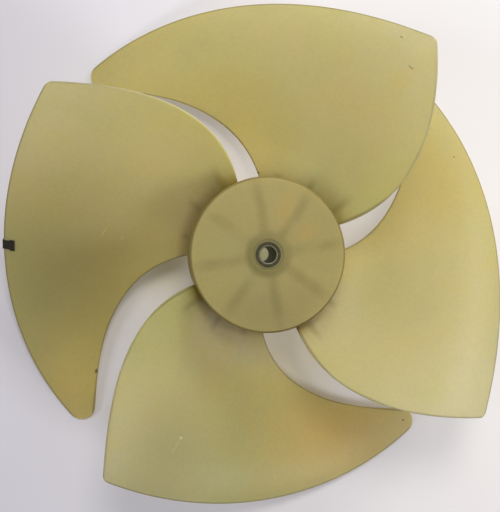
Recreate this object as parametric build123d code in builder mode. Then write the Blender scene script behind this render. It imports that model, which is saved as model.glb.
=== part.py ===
from build123d import *

import os
from math import cos, hypot, radians, sin, sqrt, tan

# Axial fan impeller: four swept, cambered blades moulded in one piece with a hub cup, round a
# metal shaft insert, with a steel balance clip pushed over one blade's outer edge.
#
# Millimetres. The origin is the middle of the shaft bore. +Z runs along the shaft axis towards
# the discharge side, where the hub's closed face is. Seen from +Z the impeller turns
# anticlockwise: each blade's high edge is its trailing edge, and its low, swept edge is its
# leading edge. The impeller lies on the four rounded leading tips.

# ---- Hub cup -------------------------------------------------------------------------------
hub_diameter = 117.5
hub_depth = 50.0
hub_wall = 2.6
hub_draft = 0.75  # degrees, the cup narrows towards its open rear
face_thickness = 3.0
rim_rounding = 1.6

# ---- Boss and shaft insert -----------------------------------------------------------------
bore_diameter = 12.0
insert_diameter = 19.0
insert_length = 42.0
insert_chamfer = 0.9
groove_width = 5.0
groove_depth = 1.0
boss_diameter = 30.0
boss_draft = 0.5  # degrees
lip_diameter = 22.6
lip_depth = 0.8

# ---- Ribs inside the cup -------------------------------------------------------------------
rib_count = 8
rib_thickness = 2.2
rib_depth = 40.0
rib_start_angle = 10.0

# ---- Blades --------------------------------------------------------------------------------
# Each row of five runs from the hub wall to the tip in equal steps. Angles are in degrees about
# the shaft axis, for the blade that points along +Y, and heights are in mm.
blade_count = 4
tip_diameter = 400.0
trailing_angles = (22.2, 25.2, 34.7, 44.8, 52.6)
trailing_root_inset = 8.4  # trailing edge's root below the front face
trailing_rises = (0.0, 23.4, 39.2, 42.9, 31.1)  # trailing edge above its root
leading_angles = (91.0, 100.4, 113.8, 127.8, 137.5)
leading_root_inset = 8.0  # leading edge's root above the rear rim
leading_drops = (0.0, 14.9, 22.4, 26.6, 33.0)  # leading edge below its root
trailing_pitches = (1.70, 1.75, 1.85, 2.10, 2.60)  # slope at the trailing edge over the chord's
leading_pitches = (0.35, 0.30, 0.25, 0.15, 0.00)  # slope at the leading edge over the chord's
blade_root_thickness = 3.2
blade_tip_thickness = 2.3
edge_thinning = 0.6  # edge thickness over mid-chord thickness
edge_rounding = 0.6
trailing_corner_radius = 8.0
leading_tip_radius = 11.0

# ---- Gussets behind each blade root --------------------------------------------------------
gusset_thickness = 2.0
gusset_reaches = (23.0, 16.0, 8.0)  # from the hub wall, from the trailing side on
gusset_toe = 1.5

# ---- Balance clip --------------------------------------------------------------------------
clip_blade = 1  # counted anticlockwise from the +Y blade
clip_angle = 87.6  # on its blade, in the blade's own angles
clip_sheet = 0.6
clip_reach = 9.6
clip_width = 6.9
clip_head_width = 8.5
clip_head_length = 4.0
clip_clearance = 0.25

# ---- Worked-out sizes ----------------------------------------------------------------------
hub_radius = hub_diameter / 2
tip_radius = tip_diameter / 2
boss_radius = boss_diameter / 2
insert_radius = insert_diameter / 2
blade_pitch = 360.0 / blade_count
rib_pitch = 360.0 / rib_count
wall_taper = hub_depth * tan(radians(hub_draft))
root_radius = hub_radius - (hub_wall + wall_taper) / 2  # inside the wall over its whole depth
insert_end = insert_length / 2
front_height = insert_end + lip_depth  # the hub's closed front face
rear_height = front_height - hub_depth  # the cup's open rear rim
face_underside = front_height - face_thickness
surface_overhang = 0.06  # how far the blade's skins run past its outline, as a fraction
skin_rows = 9
skin_columns = 13
outline_steps = 8


def along_span(values, fraction):
    """The value at a fraction of the span, on the smooth curve through equally spaced values."""
    steps = len(values) - 1
    total = 0.0
    for index, value in enumerate(values):
        weight = 1.0
        for other in range(steps + 1):
            if other != index:
                weight *= (fraction * steps - other) / (index - other)
        total += weight * value
    return total


def span_fraction(radius):
    """Where a radius lies between the hub wall and the tip, from 0 to 1."""
    return (radius - hub_radius) / (tip_radius - hub_radius)


def blade_angle(radius, chord_fraction):
    """Angle in degrees of a point of the blade, from trailing edge (0) to leading edge (1)."""
    fraction = span_fraction(radius)
    trailing = along_span(trailing_angles, fraction)
    leading = along_span(leading_angles, fraction)
    return trailing + chord_fraction * (leading - trailing)


def blade_height(radius, chord_fraction):
    """Height of the blade's mean surface: a cubic fall from trailing to leading edge."""
    fraction = span_fraction(radius)
    high = front_height - trailing_root_inset + along_span(trailing_rises, fraction)
    low = rear_height + leading_root_inset - along_span(leading_drops, fraction)
    start = along_span(trailing_pitches, fraction)
    end = along_span(leading_pitches, fraction)
    s = chord_fraction
    fall = (start + end - 2) * s**3 + (3 - 2 * start - end) * s**2 + start * s
    return high + (low - high) * fall


def chord_fraction_at(radius, angle):
    """Where an angle in degrees lies between the trailing edge (0) and the leading edge (1)."""
    trailing = blade_angle(radius, 0.0)
    leading = blade_angle(radius, 1.0)
    return (angle - trailing) / (leading - trailing)


def height_at_angle(radius, angle):
    """Height of the mean surface at a radius and an angle in degrees."""
    return blade_height(radius, chord_fraction_at(radius, angle))


def blade_thickness(radius, chord_fraction):
    """Thickness square to the skin: thickest at the root's mid chord, thinner to tip and edges."""
    fraction = span_fraction(radius)
    middle = blade_root_thickness + fraction * (blade_tip_thickness - blade_root_thickness)
    s = min(max(chord_fraction, 0.0), 1.0)
    return middle * (edge_thinning + (1 - edge_thinning) * 4 * s * (1 - s))


def upright_thickness(radius, chord_fraction):
    """The blade's thickness measured along Z, which grows with the slope of the skin."""
    step = 0.01
    rise = blade_height(radius, chord_fraction + step) - blade_height(radius, chord_fraction - step)
    turn = blade_angle(radius, chord_fraction + step) - blade_angle(radius, chord_fraction - step)
    slope = rise / (radius * radians(turn))
    return blade_thickness(radius, chord_fraction) * sqrt(1 + slope**2)


def polar(radius, angle, height=0.0):
    return (radius * cos(radians(angle)), radius * sin(radians(angle)), height)


def blade_skin(side):
    """The blade's upper (side = 1) or lower (side = -1) skin, a little larger than its outline."""
    inner = root_radius - surface_overhang * hub_radius
    outer = tip_radius * (1 + surface_overhang / 2)
    rows = []
    for row in range(skin_rows):
        radius = inner + (outer - inner) * row / (skin_rows - 1)
        points = []
        for column in range(skin_columns):
            s = -surface_overhang + (1 + 2 * surface_overhang) * column / (skin_columns - 1)
            height = blade_height(radius, s) + side * upright_thickness(radius, s) / 2
            points.append(Vector(*polar(radius, blade_angle(radius, s), height)))
        rows.append(points)
    return Face.make_surface_from_array_of_points(rows)


def edge_points(chord_fraction):
    """Plan points of the leading or trailing edge, from inside the hub wall to the tip."""
    points = []
    for step in range(outline_steps + 1):
        radius = root_radius + (tip_radius - root_radius) * step / outline_steps
        points.append(polar(radius, blade_angle(radius, chord_fraction))[:2])
    return points


def distance_from_axis(shape):
    """How far the middle of an edge or a face stands from the shaft axis."""
    middle = shape.center()
    return hypot(middle.X, middle.Y)


def radial_plane(angle):
    """The plane through the shaft axis at an angle, with its x outwards and its y along +Z."""
    outwards = Vector(*polar(1.0, angle))
    return Plane(origin=(0, 0, 0), x_dir=outwards, z_dir=outwards.cross(Vector(0, 0, 1)))


# ---- Shaft insert: a turned bush with a groove that the plastic grips -------------------------
groove_radius = insert_radius - groove_depth
groove_edge = groove_width / 2

with BuildPart() as shaft_insert:
    with BuildSketch(Plane.XZ) as insert_section:
        with BuildLine():
            Polyline(
                (bore_diameter / 2, insert_end),
                (insert_radius, insert_end),
                (insert_radius, groove_edge),
                (groove_radius, groove_edge),
                (groove_radius, -groove_edge),
                (insert_radius, -groove_edge),
                (insert_radius, -insert_end),
                (bore_diameter / 2, -insert_end),
                close=True,
            )
        make_face()
    revolve(axis=Axis.Z)
    bore_mouths = shaft_insert.edges().filter_by(GeomType.CIRCLE).group_by(SortBy.RADIUS)[0]
    chamfer(bore_mouths, length=insert_chamfer)
shaft_insert.part.label = "shaft_insert"

# ---- One blade with its gussets ------------------------------------------------------------
blade_top = front_height - trailing_root_inset + max(trailing_rises)
blade_bottom = rear_height + leading_root_inset - max(leading_drops)
headroom = 25.0
trailing_points = edge_points(0.0)
leading_points = edge_points(1.0)
tip_middle = (blade_angle(tip_radius, 0.0) + blade_angle(tip_radius, 1.0)) / 2
root_middle = (blade_angle(root_radius, 0.0) + blade_angle(root_radius, 1.0)) / 2

with BuildPart() as blade:
    with BuildSketch(Plane.XY.offset(blade_bottom - headroom)) as outline:
        with BuildLine():
            Spline(*trailing_points)
            ThreePointArc(
                trailing_points[-1], polar(tip_radius, tip_middle)[:2], leading_points[-1]
            )
            Spline(*leading_points)
            ThreePointArc(
                leading_points[0], polar(root_radius, root_middle)[:2], trailing_points[0]
            )
        make_face()
    extrude(amount=blade_top - blade_bottom + 2 * headroom)
    outer_corners = blade.edges().filter_by(Axis.Z).sort_by(distance_from_axis)[-2:].sort_by(Axis.X)
    fillet(outer_corners[0], radius=leading_tip_radius)
    fillet(outer_corners[-1], radius=trailing_corner_radius)
    skin_depth = blade_top - blade_bottom + headroom
    extrude(to_extrude=blade_skin(1), dir=(0, 0, -1), amount=skin_depth, mode=Mode.INTERSECT)
    extrude(to_extrude=blade_skin(-1), dir=(0, 0, 1), amount=skin_depth, mode=Mode.INTERSECT)
    skins = blade.faces().sort_by(SortBy.AREA)[-2:]
    free_edge_reach = hub_radius + leading_tip_radius
    free_edges = [edge for edge in skins.edges() if distance_from_axis(edge) > free_edge_reach]
    fillet(free_edges, radius=edge_rounding)

    for index, reach in enumerate(gusset_reaches, start=1):
        angle = rib_start_angle + index * rib_pitch / 2
        top_points = []
        for step in range(4):
            radius = root_radius + (hub_radius + reach - root_radius) * step / 3
            top_points.append((radius, height_at_angle(radius, angle)))
        with BuildSketch(radial_plane(angle)) as gusset_outline:
            with BuildLine():
                Spline(*top_points)
                Polyline(
                    top_points[-1],
                    (top_points[-1][0], top_points[-1][1] - gusset_toe),
                    (hub_radius - wall_taper, rear_height + gusset_toe),
                    (root_radius, rear_height + gusset_toe),
                    top_points[0],
                )
            make_face()
        extrude(amount=gusset_thickness / 2, both=True)

# ---- Impeller: hub cup, boss, ribs and blades, one moulding ---------------------------------
boss_taper = insert_length * tan(radians(boss_draft))
rib_inner = (insert_radius + boss_radius - boss_taper) / 2
rib_outer = root_radius

with BuildPart() as impeller:
    with BuildSketch(Plane.XZ) as cup_section:
        with BuildLine():
            Polyline(
                (insert_radius, insert_end),
                (lip_diameter / 2, insert_end),
                (lip_diameter / 2 + lip_depth, front_height),
                (hub_radius, front_height),
                (hub_radius - wall_taper, rear_height),
                (hub_radius - wall_taper - hub_wall, rear_height),
                (hub_radius - hub_wall, face_underside),
                (boss_radius, face_underside),
                (boss_radius - boss_taper, -insert_end),
                (insert_radius, -insert_end),
                (insert_radius, -groove_edge),
                (groove_radius, -groove_edge),
                (groove_radius, groove_edge),
                (insert_radius, groove_edge),
                close=True,
            )
        make_face()
        front_rim = cup_section.vertices().sort_by(Axis.X)[-1]
        fillet(front_rim, radius=rim_rounding)
    revolve(axis=Axis.Z)
    with BuildSketch(Plane.XY.offset(face_underside)) as rib_outlines:
        with PolarLocations((rib_inner + rib_outer) / 2, rib_count, start_angle=rib_start_angle):
            Rectangle(rib_outer - rib_inner, rib_thickness)
    extrude(amount=face_thickness - rib_depth)
    with PolarLocations(0, blade_count):
        add(blade.part)
impeller.part.label = "impeller"

# ---- Balance clip: a U of spring steel with wider leg ends -----------------------------------
clip_turn = clip_blade * blade_pitch
clip_inboard = tip_radius - clip_reach


def clipped_blade_point(radius, angle):
    """A point of the clipped blade's mean surface, from an angle in the blade's own angles."""
    return Vector(*polar(radius, angle + clip_turn, height_at_angle(radius, angle)))


edge_middle = clipped_blade_point(tip_radius, clip_angle)
towards_hub = clipped_blade_point(clip_inboard, clip_angle) - edge_middle
edge_ahead = clipped_blade_point(tip_radius, clip_angle + 1) - edge_middle
edge_behind = clipped_blade_point(tip_radius, clip_angle - 1) - edge_middle
along_edge = (edge_ahead - edge_behind).normalized()
blade_normal = along_edge.cross(towards_hub).normalized()
inwards = blade_normal.cross(along_edge)  # square to the edge, along the skin
outwards = Vector(*polar(1.0, clip_angle + clip_turn))
edge_lean = -blade_normal.dot(outwards) / inwards.dot(outwards)  # of the blade's upright edge
clip_plane = Plane(origin=edge_middle, x_dir=inwards, z_dir=inwards.cross(blade_normal))
clip_slot = blade_thickness(clip_inboard, chord_fraction_at(clip_inboard, clip_angle)) + 2 * clip_clearance
clip_height = clip_slot + 2 * clip_sheet


def clip_corners(back, height):
    """Corners of a leaning section from behind the blade's edge to the ends of the clip's legs."""
    lean = edge_lean * height / 2
    return [
        (lean - back, height / 2),
        (clip_reach, height / 2),
        (clip_reach, -height / 2),
        (-lean - back, -height / 2),
    ]


with BuildPart() as balance_clip:
    with BuildSketch(clip_plane) as clip_section:
        with BuildLine():
            Polyline(*clip_corners(clip_clearance + clip_sheet, clip_height), close=True)
        make_face()
        back_corners = clip_section.vertices().sort_by(Axis(edge_middle, inwards))[:2]
        fillet(back_corners, radius=clip_sheet)
        with BuildLine():
            Polyline(*clip_corners(clip_clearance, clip_slot), close=True)
        make_face(mode=Mode.SUBTRACT)
    extrude(amount=clip_width / 2, both=True)
    leg_middle = (clip_slot + clip_sheet) / 2
    leg_end_middle = clip_reach - clip_head_length / 2
    with BuildSketch(clip_plane) as leg_ends:
        with Locations((leg_end_middle, leg_middle), (leg_end_middle, -leg_middle)):
            Rectangle(clip_head_length, clip_sheet)
    extrude(amount=clip_head_width / 2, both=True)
balance_clip.part.label = "balance_clip"

# ---- Files ---------------------------------------------------------------------------------
os.makedirs("parts", exist_ok=True)
export_step(impeller.part, "parts/impeller.step")
export_step(shaft_insert.part, "parts/shaft_insert.step")
export_step(balance_clip.part, "parts/balance_clip.step")
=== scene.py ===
from math import cos, degrees, radians, sin

import bpy
from mathutils import Matrix, Vector


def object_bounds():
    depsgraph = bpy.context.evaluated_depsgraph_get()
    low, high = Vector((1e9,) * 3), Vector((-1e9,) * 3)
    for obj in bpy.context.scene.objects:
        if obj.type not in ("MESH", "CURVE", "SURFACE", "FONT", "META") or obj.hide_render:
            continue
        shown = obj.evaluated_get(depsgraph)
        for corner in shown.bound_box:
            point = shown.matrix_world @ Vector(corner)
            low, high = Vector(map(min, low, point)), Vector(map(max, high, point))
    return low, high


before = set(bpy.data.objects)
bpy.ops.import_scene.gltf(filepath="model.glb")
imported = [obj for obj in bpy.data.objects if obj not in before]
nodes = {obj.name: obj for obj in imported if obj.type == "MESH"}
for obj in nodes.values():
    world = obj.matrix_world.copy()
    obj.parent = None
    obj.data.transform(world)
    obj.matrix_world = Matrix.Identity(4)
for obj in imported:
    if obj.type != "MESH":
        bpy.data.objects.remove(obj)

cad_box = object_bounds()
scene = bpy.context.scene

# Sizes of the impeller that the patterns follow, in metres and degrees.
TIP_R = 0.200
HUB_R = 0.05875
FRONT_Z = 0.0218
BORE_R = 0.0060
MOUTH_R = 0.0067  # the painted highlight, a bright ring on the chamfer at the bore's mouth
BOSS_R = 0.015
RIB_START = 10.0
RIB_PITCH = 45.0
BLADE_PITCH = 90.0
TRAILING = (22.2, 25.2, 34.7, 44.8, 52.6)  # angles of the two edges, from the hub to the tip
LEADING = (91.0, 100.4, 113.8, 127.8, 137.5)
BEFORE_EDGE = 3.0  # a blade's own angles start this far ahead of its trailing edge
GUSSETS = ((32.5, 0.023), (55.0, 0.016), (77.5, 0.008))  # angle and reach from the hub's wall

# The camera fitted to the photo: focal length and frame in pixels, sensor in mm, tilts in
# degrees, and where it has the middle of the hub's front face, in metres.
FOCAL_LENGTH = 855.84
FRAME_HEIGHT = 512
SENSOR = 36.0
CAMERA_TILT_X = 1.0023
CAMERA_TILT_Y = 6.9293
FACE_SEEN_AT = (0.013756, 0.000918, -0.638100)

WARM = (1.0, 0.98, 0.90)
COOL = (0.97, 0.98, 1.06)
# Name, heading and height in degrees, distance and size in metres, power in watts, colour.
LAMPS = (
    ("key", 40, 24, 0.8, 0.35, 2.8, WARM),
    ("rim", 90, 22, 0.8, 0.35, 1.3, WARM),
    ("top", 90, 62, 1.5, 0.55, 9.2, WARM),
    ("front", 315, 38, 1.5, 0.55, 7.4, COOL),
    ("left", 180, 38, 1.5, 0.55, 4.8, COOL),
)
FLOOR_HALF = 3


# ---------------------------------------------------------------- node helpers
class Graph:
    """A material's node tree, with short calls for the few nodes used here."""

    def __init__(self, name):
        self.material = bpy.data.materials.new(name)
        self.material.use_nodes = True
        self.tree = self.material.node_tree
        self.tree.nodes.clear()
        self.output = self.tree.nodes.new("ShaderNodeOutputMaterial")

    def node(self, kind, **settings):
        n = self.tree.nodes.new(kind)
        for key, value in settings.items():
            setattr(n, key, value)
        return n

    def put(self, socket, value):
        """Links a socket's value, or sets a plain one. None leaves the socket alone."""
        if isinstance(value, bpy.types.NodeSocket):
            self.tree.links.new(value, socket)
        elif value is not None:
            socket.default_value = value

    def math(self, operation, a, b=None, c=None, clamp=False):
        n = self.node("ShaderNodeMath", operation=operation, use_clamp=clamp)
        for socket, value in zip(n.inputs, (a, b, c)):
            self.put(socket, value)
        return n.outputs[0]

    def product(self, *factors):
        total = factors[0]
        for factor in factors[1:]:
            total = self.math("MULTIPLY", total, factor)
        return total

    def wrap(self, value, low, high):
        return self.math("WRAP", value, high, low)

    def distance(self, a, b):
        return self.math("ABSOLUTE", self.math("SUBTRACT", a, b))

    def ramp(self, value, low, high, to_low=0.0, to_high=1.0, kind="SMOOTHSTEP"):
        n = self.node("ShaderNodeMapRange", interpolation_type=kind)
        for socket, v in zip(n.inputs, (value, low, high, to_low, to_high)):
            self.put(socket, v)
        return n.outputs[0]

    def line(self, value, low, high, to_low, to_high):
        return self.ramp(value, low, high, to_low, to_high, "LINEAR")

    def fade(self, value, low, high):
        """1 below low, falling to 0 at high."""
        return self.ramp(value, low, high, 1.0, 0.0)

    def mix(self, factor, a, b, kind="MIX"):
        n = self.node("ShaderNodeMix", data_type="RGBA", blend_type=kind, clamp_factor=True)
        self.put(n.inputs[0], factor)
        self.put(n.inputs[6], a)
        self.put(n.inputs[7], b)
        return n.outputs[2]

    def shade(self, colour, amount, tint):
        """The colour, moved towards its product with tint."""
        return self.mix(amount, colour, (*tint, 1.0), "MULTIPLY")

    def noise(self, vector, scale, detail=2.0, roughness=0.5):
        n = self.node("ShaderNodeTexNoise")
        self.put(n.inputs["Vector"], vector)
        n.inputs["Scale"].default_value = scale
        n.inputs["Detail"].default_value = detail
        n.inputs["Roughness"].default_value = roughness
        return n.outputs["Fac"]

    def stretched(self, vector, scale):
        n = self.node("ShaderNodeMapping")
        self.put(n.inputs["Vector"], vector)
        n.inputs["Scale"].default_value = scale
        return n.outputs[0]

    def spot(self, position, centre, half, turn, soft):
        """1 at centre and 0 outside an ellipsoid of half-axes half, turned about Z in degrees."""
        n = self.node("ShaderNodeMapping", vector_type="TEXTURE")
        self.put(n.inputs["Vector"], position)
        n.inputs["Location"].default_value = centre
        n.inputs["Rotation"].default_value = (0.0, 0.0, radians(turn))
        n.inputs["Scale"].default_value = half
        length = self.node("ShaderNodeVectorMath", operation="LENGTH")
        self.put(length.inputs[0], n.outputs[0])
        return self.fade(length.outputs["Value"], 1.0 - soft, 1.0)

    def paint(self, colour, position, spots, soft):
        """The colour with spots of other tones laid over it."""
        for centre, half, turn, tone, amount in spots:
            where = self.product(self.spot(position, centre, half, turn, soft), amount)
            colour = self.mix(where, colour, tone)
        return colour

    def edge_angle(self, span, angles):
        """The angle of a blade's edge at a span of 0 to 1, through equally spaced angles."""
        n = self.node("ShaderNodeFloatCurve")
        self.put(n.inputs["Value"], span)
        curve = n.mapping.curves[0]
        last = len(angles) - 1
        points = [(i / last, angle / 180) for i, angle in enumerate(angles)]
        curve.points[0].location = points[0]
        curve.points[1].location = points[-1]
        for point in points[1:-1]:
            curve.points.new(*point)
        n.mapping.update()
        return self.product(n.outputs[0], 180)

    def place(self):
        """Position on the object, its x, y and z, radius and angle in degrees."""
        position = self.node("ShaderNodeTexCoord").outputs["Object"]
        split = self.node("ShaderNodeSeparateXYZ")
        self.put(split.inputs[0], position)
        x, y, z = split.outputs
        r = self.math("SQRT", self.math("ADD", self.product(x, x), self.product(y, y)))
        angle = self.product(self.math("ARCTAN2", y, x), degrees(1))
        return position, x, y, z, r, angle

    def principled(self, colour, roughness, specular, metallic=0.0):
        n = self.node("ShaderNodeBsdfPrincipled")
        self.put(n.inputs["Base Color"], colour)
        self.put(n.inputs["Roughness"], roughness)
        n.inputs["Specular IOR Level"].default_value = specular
        n.inputs["Metallic"].default_value = metallic
        return n

    def both(self, share, first, second):
        """Two shaders, with share of the second."""
        n = self.node("ShaderNodeMixShader")
        self.put(n.inputs[0], share)
        self.put(n.inputs[1], first.outputs[0])
        self.put(n.inputs[2], second.outputs[0])
        return n

    def made_of(self, shader):
        self.put(self.output.inputs["Surface"], shader.outputs[0])
        return self.material


def srgb(r, g, b):
    """An sRGB colour of 0 to 255 as the linear colour that a shader takes."""
    parts = []
    for v in (r, g, b):
        v /= 255
        parts.append(v / 12.92 if v <= 0.04045 else ((v + 0.055) / 1.055) ** 2.4)
    return (*parts, 1.0)


# Soft patches of another tone, partly the plastic's uneven colour and partly painted light and
# painted shade on the blades and the hub's face: centre and half-axes in metres, turn in degrees,
# colour, amount.
TONE_LIGHT_AND_SHADE_PATCHES = (
    ((0.012, 0.033, 0.0218), (0.010, 0.020, 0.01), -10, srgb(214, 192, 124), 0.7),
    ((0.029, 0.017, 0.0218), (0.012, 0.016, 0.01), -60, srgb(216, 192, 126), 0.6),
    ((0.030, -0.030, 0.0218), (0.022, 0.016, 0.01), -50, srgb(196, 178, 122), 0.45),
    ((0.062, -0.152, -0.042), (0.110, 0.060, 0.05), 10, srgb(232, 210, 142), 0.75),
    ((0.150, 0.060, -0.045), (0.070, 0.090, 0.06), 0, srgb(216, 202, 136), 0.8),
    ((-0.165, 0.000, -0.020), (0.100, 0.100, 0.10), 0, srgb(182, 175, 120), 0.75),
    ((-0.080, 0.080, 0.015), (0.070, 0.055, 0.06), -30, srgb(224, 216, 172), 0.65),
    ((-0.143, -0.105, -0.046), (0.045, 0.060, 0.05), 0, srgb(236, 220, 152), 0.70),
    ((-0.075, -0.150, 0.015), (0.080, 0.070, 0.06), 0, srgb(190, 184, 140), 0.8),
    ((0.000, -0.045, 0.0218), (0.055, 0.035, 0.03), 0, srgb(186, 174, 118), 0.7),
)

# Small marks from handling, in the same terms.
MARKS = (
    ((-0.0019, 0.0646, -0.0223), (0.0010, 0.0009, 0.003), 0, srgb(34, 30, 20), 0.95),
    ((-0.1306, -0.0946, -0.0455), (0.0014, 0.0024, 0.004), -15, srgb(96, 80, 48), 0.8),
    ((0.1678, 0.0812, -0.0446), (0.0008, 0.0008, 0.003), 0, srgb(70, 60, 40), 0.8),
    ((-0.1230, 0.0176, -0.0218), (0.0062, 0.0006, 0.006), 58, srgb(236, 230, 200), 0.40),
    ((-0.1093, 0.0126, -0.0257), (0.0026, 0.0006, 0.005), 40, srgb(236, 230, 200), 0.35),
    ((-0.0647, -0.1382, 0.0093), (0.0018, 0.0013, 0.005), 20, srgb(240, 236, 214), 0.55),
    ((-0.0690, -0.1445, 0.0120), (0.0078, 0.0006, 0.008), 56, srgb(236, 230, 200), 0.25),
    ((0.0992, 0.1627, 0.0295), (0.0016, 0.0007, 0.004), -45, srgb(110, 98, 66), 0.7),
    ((0.1033, 0.1380, 0.0399), (0.0032, 0.0006, 0.006), -53, srgb(104, 94, 66), 0.6),
    ((0.1257, -0.1417, -0.0496), (0.0014, 0.0012, 0.004), 0, srgb(96, 82, 50), 0.6),
)


# ---------------------------------------------------------------- moulded plastic
def plastic():
    g = Graph("fan_plastic")
    position, x, y, z, r, angle = g.place()

    # Where a point lies on its blade: span 0 to 1 from the hub to the tip, along 0 to 1 from
    # the trailing to the leading edge, and distances from the edges in metres.
    span = g.math("DIVIDE", g.math("SUBTRACT", r, HUB_R), TIP_R - HUB_R, clamp=True)
    trail = g.edge_angle(span, TRAILING)
    lead = g.edge_angle(span, LEADING)
    chord = g.math("SUBTRACT", lead, trail)
    turned = g.wrap(g.math("SUBTRACT", angle, trail), -BEFORE_EDGE, BLADE_PITCH - BEFORE_EDGE)
    along = g.math("DIVIDE", turned, chord, clamp=True)
    to_metres = g.product(r, radians(1))
    from_trailing = g.product(turned, to_metres)
    from_leading = g.product(g.math("SUBTRACT", chord, turned), to_metres)
    from_tip = g.math("SUBTRACT", TIP_R, r)
    on_blade = g.ramp(r, HUB_R + 0.0004, HUB_R + 0.0012)
    off_blade = g.math("SUBTRACT", 1.0, on_blade)
    on_face = g.product(g.ramp(z, FRONT_Z - 0.0006, FRONT_Z - 0.0001), off_blade)

    # Clouding of the natural, aged plastic. A painted sheen makes the blades paler towards the
    # trailing corner, and they turn yellower towards the leading tip.
    broad = g.noise(position, 9.0, 2.0, 0.45)
    cloud = g.noise(position, 26.0, 3.0, 0.5)
    fine = g.noise(position, 420.0, 3.0, 0.6)
    colour = g.mix(g.ramp(broad, 0.38, 0.62), srgb(206, 202, 150), srgb(211, 203, 158))
    # Painted sheen towards the trailing corner.
    pale = g.product(g.fade(along, 0.0, 0.45), g.ramp(span, 0.15, 0.95))
    colour = g.mix(g.product(pale, 0.75), colour, srgb(214, 208, 182))
    colour = g.mix(g.product(g.ramp(along, 0.40, 1.0), 0.75), colour, srgb(222, 208, 142))
    # The hub takes a darker colour: painted shade for the dark cup behind its face, and its
    # thicker plastic.
    colour = g.mix(on_blade, srgb(203, 192, 132), colour)
    colour = g.mix(g.ramp(cloud, 0.50, 0.72, 0.0, 0.35), colour, srgb(214, 200, 140))
    colour = g.mix(g.ramp(cloud, 0.50, 0.28, 0.0, 0.35), colour, srgb(200, 199, 144))
    # Patches of tone, painted light and painted shade.
    colour = g.paint(colour, position, TONE_LIGHT_AND_SHADE_PATCHES, 1.0)
    colour = g.shade(colour, g.ramp(fine, 0.35, 0.7, 0.0, 0.10), (0.62, 0.60, 0.52))

    # Painted shade where the ribs and the boss behind the hub's front face show through it as
    # darker bands.
    wander = g.product(g.math("SUBTRACT", g.noise(position, 45.0), 0.5), 0.005)

    def off_line(at, pitch):
        """Distance in metres from lines that repeat round the axis, a little wavy."""
        off = g.wrap(g.math("SUBTRACT", angle, at), -pitch / 2, pitch / 2)
        return g.math("ABSOLUTE", g.math("ADD", g.product(off, to_metres), wander))

    rib_shadow = g.product(
        g.fade(off_line(RIB_START, RIB_PITCH), 0.0004, 0.0068),
        g.ramp(r, BOSS_R - 0.001, BOSS_R + 0.004),
        g.ramp(r, 0.042, 0.058, 1.0, 0.35),
        g.ramp(g.noise(position, 38.0), 0.30, 0.62, 0.25, 1.0),
    )
    colour = g.shade(colour, g.product(rib_shadow, on_face), (0.84, 0.83, 0.78))
    # Painted shadow round the middle of the face, darker on the side away from the key lamp.
    boss_shadow = g.fade(r, BOSS_R - 0.001, BOSS_R + 0.005)
    front = g.ramp(z, FRONT_Z - 0.004, FRONT_Z - 0.003)
    shaded = g.ramp(g.math("ADD", x, y), -0.03, 0.03, 1.0, 0.5)  # the side away from the key lamp
    colour = g.shade(colour, g.product(boss_shadow, front, shaded), (0.62, 0.61, 0.48))

    # Painted shade where the gussets behind the blades show through them beside the hub, at the
    # blades' roots and in the corner beside the hub; the hub's outer side is darker, partly for
    # its deep plastic and partly as painted shade.
    # Painted shadows of the gussets.
    gusset_shadow = 0.0
    for gusset, reach in GUSSETS:
        across = g.fade(off_line(gusset, BLADE_PITCH), 0.0004, 0.0046)
        outward = g.fade(r, HUB_R + 0.3 * reach, HUB_R + reach)
        gusset_shadow = g.math("MAXIMUM", g.product(across, outward), gusset_shadow)
    colour = g.shade(colour, g.product(gusset_shadow, on_blade), (0.82, 0.79, 0.68))
    # Painted shade at the blades' roots.
    root_shade = g.fade(r, HUB_R, HUB_R + 0.022)
    colour = g.shade(colour, g.product(root_shade, on_blade), (0.92, 0.89, 0.80))
    # Painted shadow in the corner beside the hub, on the side away from the key lamp.
    crease_shadow = g.fade(r, HUB_R + 0.001, HUB_R + 0.010)
    colour = g.shade(colour, g.product(crease_shadow, on_blade, shaded), (0.72, 0.68, 0.50))
    # Darker hub side: its deep plastic, and painted shade.
    wall_depth_and_shade = g.product(
        g.fade(g.distance(r, HUB_R), 0.0006, 0.0014),
        g.fade(z, FRONT_Z - 0.0030, FRONT_Z - 0.0010),
    )
    colour = g.shade(colour, wall_depth_and_shade, (0.76, 0.72, 0.50))

    # Light that runs out at the blades' edges and at the hub's rim leaves a thin dark outline,
    # but not on the left blade's trailing edge, which catches the light.
    outline = g.math(
        "MAXIMUM",
        g.fade(g.math("MINIMUM", from_leading, from_tip), 0.0004, 0.0018),
        g.ramp(from_trailing, 0.0008, 0.0022, 0.90, 0.0),
    )
    lit_edge = g.spot(position, (-0.080, 0.085, 0.015), (0.090, 0.060, 0.06), -30, 0.4)
    outline = g.product(outline, g.math("SUBTRACT", 1.0, lit_edge), on_blade)
    colour = g.shade(colour, outline, (0.58, 0.57, 0.60))
    rim = g.product(
        g.fade(g.distance(r, HUB_R - 0.0003), 0.0008, 0.0018),
        g.ramp(z, FRONT_Z - 0.0022, FRONT_Z - 0.0012),
    )
    colour = g.shade(colour, rim, (0.54, 0.50, 0.40))

    colour = g.paint(colour, position, MARKS, 0.5)
    colour = g.shade(colour, 1.0, (0.93, 0.93, 0.89))

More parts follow.
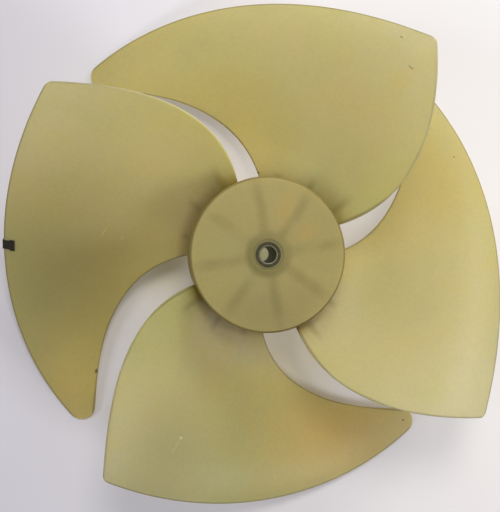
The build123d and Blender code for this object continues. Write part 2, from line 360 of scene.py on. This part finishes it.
    shader = g.principled(colour, g.line(cloud, 0.3, 0.7, 0.40, 0.52), 0.45)
    shader.inputs["Subsurface Weight"].default_value = 1.0
    shader.inputs["Subsurface Radius"].default_value = (1.0, 0.85, 0.45)
    shader.inputs["Subsurface Scale"].default_value = 0.008
    bump = g.node("ShaderNodeBump")
    bump.inputs["Strength"].default_value = 0.12
    bump.inputs["Distance"].default_value = 0.0004
    g.put(bump.inputs["Height"], g.noise(position, 900.0, 3.0, 0.6))
    g.put(shader.inputs["Normal"], bump.outputs[0])
    through = g.node("ShaderNodeBsdfTranslucent")
    g.put(through.inputs["Color"], g.shade(colour, 1.0, (1.22, 1.22, 1.22)))
    return g.made_of(g.both(0.45, shader, through))


# ---------------------------------------------------------------- metals
def insert_steel():
    g = Graph("insert_steel")
    position, *_, r, _ = g.place()
    rings = g.noise(g.stretched(position, (1.0, 1.0, 30.0)), 300.0, 3.0)
    colour = g.mix(g.ramp(rings, 0.3, 0.7), srgb(66, 61, 34), srgb(50, 46, 26))
    # Painted shade down the bore.
    colour = g.mix(g.fade(r, BORE_R, BORE_R + 0.0003), colour, srgb(24, 22, 14))
    # Painted highlight: a bright ring on the chamfer at the bore's mouth.
    mouth_highlight = g.fade(g.distance(r, MOUTH_R), 0.00015, 0.00045)
    colour = g.mix(g.product(mouth_highlight, 0.65), colour, srgb(168, 164, 142))
    return g.made_of(g.principled(colour, g.line(rings, 0.3, 0.7, 0.38, 0.52), 0.3, 0.3))


def clip_steel():
    g = Graph("clip_steel")
    worn = g.noise(g.place()[0], 700.0, 3.0)
    colour = g.mix(g.ramp(worn, 0.5, 0.75), srgb(22, 17, 7), srgb(40, 33, 18))
    return g.made_of(g.principled(colour, g.line(worn, 0.3, 0.7, 0.5, 0.65), 0.25, 0.1))


for name, material in (
    ("impeller", plastic()),
    ("shaft_insert", insert_steel()),
    ("balance_clip", clip_steel()),
):
    for slot in nodes[name].material_slots:
        slot.material = material


# ---------------------------------------------------------------- floor and backdrop
def floor_material():
    """Pale paper, darker and cooler towards the left and at the far corner as painted shade, with
    a painted shadow where the part shades it and painted light where light has gone through the
    part.

    Rays from the camera, metal and glass see it partly lit by itself.
    """
    g = Graph("pale_floor")
    position, x, y, _, r, _ = g.place()
    # Painted shade: darker and cooler towards the left.
    across = g.line(g.math("ADD", x, g.product(y, -0.25)), -0.25, 0.25, 0.0, 1.0)
    colour = g.mix(across, srgb(219, 216, 227), srgb(244, 240, 240))
    # Painted shade at the far corner.
    far_corner_shade = g.spot(position, (0.22, 0.26, 0.0), (0.26, 0.26, 1.0), 0, 1.0)
    colour = g.shade(colour, far_corner_shade, (0.84, 0.85, 0.86))
    # Painted light gone through the part, yellowing the floor under the impeller.
    colour = g.shade(colour, g.fade(r, 0.05, 0.16), (1.0, 0.96, 0.84))
    # Painted shadow beside the hub.
    shadow_beside_hub = g.spot(position, (-0.074, -0.003, 0.0), (0.038, 0.045, 1.0), 0, 1.0)
    colour = g.shade(colour, shadow_beside_hub, (0.70, 0.68, 0.52))
    # Painted light gone through the part, yellowing the floor below the hub.
    through_light_below_hub = g.spot(position, (0.030, -0.090, 0.0), (0.090, 0.070, 1.0), 0, 1.0)
    colour = g.shade(colour, through_light_below_hub, (0.98, 0.96, 0.82))
    # Darker and yellower right under the hub: painted shade, tinted by light gone through the
    # part.
    colour = g.shade(colour, g.fade(r, 0.030, 0.060), (0.72, 0.76, 0.50))
    glow = g.node("ShaderNodeEmission")
    g.put(glow.inputs["Color"], colour)
    # Painted light: the floor glows brighter for camera, metal and glass where light has gone
    # through the part.
    passed = g.spot(position, (0.04, 0.06, 0.0), (0.15, 0.12, 0.3), 0, 1.0)
    g.put(glow.inputs["Strength"], g.line(passed, 0.0, 1.0, 0.80, 1.15))
    seen = g.node("ShaderNodeLightPath")
    shown = g.math("ADD", seen.outputs["Is Camera Ray"], seen.outputs["Is Glossy Ray"])
    shown = g.math("ADD", shown, seen.outputs["Is Transmission Ray"], clamp=True)
    share = g.product(shown, g.line(passed, 0.0, 1.0, 0.20, 0.75))
    return g.made_of(g.both(share, g.principled(colour, 0.7, 0.2), glow))


def studio():
    """A dim, even world that the camera, metal and glass see as a pale backdrop."""
    world = bpy.data.worlds.new("studio")
    world.use_nodes = True
    tree = world.node_tree
    even = tree.nodes["Background"]
    even.inputs[0].default_value = (0.98, 0.98, 1.0, 1.0)
    even.inputs[1].default_value = 0.12
    backdrop = tree.nodes.new("ShaderNodeBackground")
    backdrop.inputs[0].default_value = (0.97, 0.97, 1.0, 1.0)
    backdrop.inputs[1].default_value = 0.80
    seen = tree.nodes.new("ShaderNodeLightPath")
    shown = seen.outputs["Is Camera Ray"]
    for ray in ("Is Glossy Ray", "Is Transmission Ray"):
        either = tree.nodes.new("ShaderNodeMath")
        either.operation = "MAXIMUM"
        tree.links.new(shown, either.inputs[0])
        tree.links.new(seen.outputs[ray], either.inputs[1])
        shown = either.outputs[0]
    mix = tree.nodes.new("ShaderNodeMixShader")
    tree.links.new(shown, mix.inputs[0])
    tree.links.new(even.outputs[0], mix.inputs[1])
    tree.links.new(backdrop.outputs[0], mix.inputs[2])
    tree.links.new(mix.outputs[0], tree.nodes["World Output"].inputs[0])
    return world


floor_z = cad_box[0][2]
corners = ((-1, -1), (1, -1), (1, 1), (-1, 1))
floor_mesh = bpy.data.meshes.new("floor")
floor_mesh.from_pydata(
    [(i * FLOOR_HALF, j * FLOOR_HALF, floor_z) for i, j in corners], [], [(0, 1, 2, 3)]
)
floor = bpy.data.objects.new("floor", floor_mesh)
scene.collection.objects.link(floor)
floor_mesh.materials.append(floor_material())

scene.world = studio()


# ---------------------------------------------------------------- lamps and camera
def area(name, place, size, power, tone):
    """A round lamp at a place in metres, aimed at the middle of the part."""
    lamp = bpy.data.lights.new(name, "AREA")
    lamp.shape = "DISK"
    lamp.size = size
    lamp.energy = power
    lamp.color = tone
    o = bpy.data.objects.new(name, lamp)
    scene.collection.objects.link(o)
    o.location = place
    o.rotation_euler = (-Vector(place)).to_track_quat("-Z", "Y").to_euler()


for name, heading, height, distance, size, power, tone in LAMPS:
    level = distance * cos(radians(height))
    place = (
        level * cos(radians(heading)),
        level * sin(radians(heading)),
        distance * sin(radians(height)),
    )
    area(name, place, size, power, tone)

camera_data = bpy.data.cameras.new("camera")
camera_data.sensor_width = SENSOR
camera_data.sensor_fit = "AUTO"
camera_data.lens = FOCAL_LENGTH / FRAME_HEIGHT * SENSOR
camera = bpy.data.objects.new("camera", camera_data)
scene.collection.objects.link(camera)
view = (
    Matrix.Rotation(radians(CAMERA_TILT_X), 3, "X")
    @ Matrix.Rotation(radians(CAMERA_TILT_Y), 3, "Y")
)
eye = Vector((0, 0, FRONT_Z)) - view.transposed() @ Vector(FACE_SEEN_AT)
camera.matrix_world = Matrix.Translation(eye) @ view.transposed().to_4x4()
scene.camera = camera
scene.view_settings.view_transform = "Standard"

bpy.context.view_layer.update()
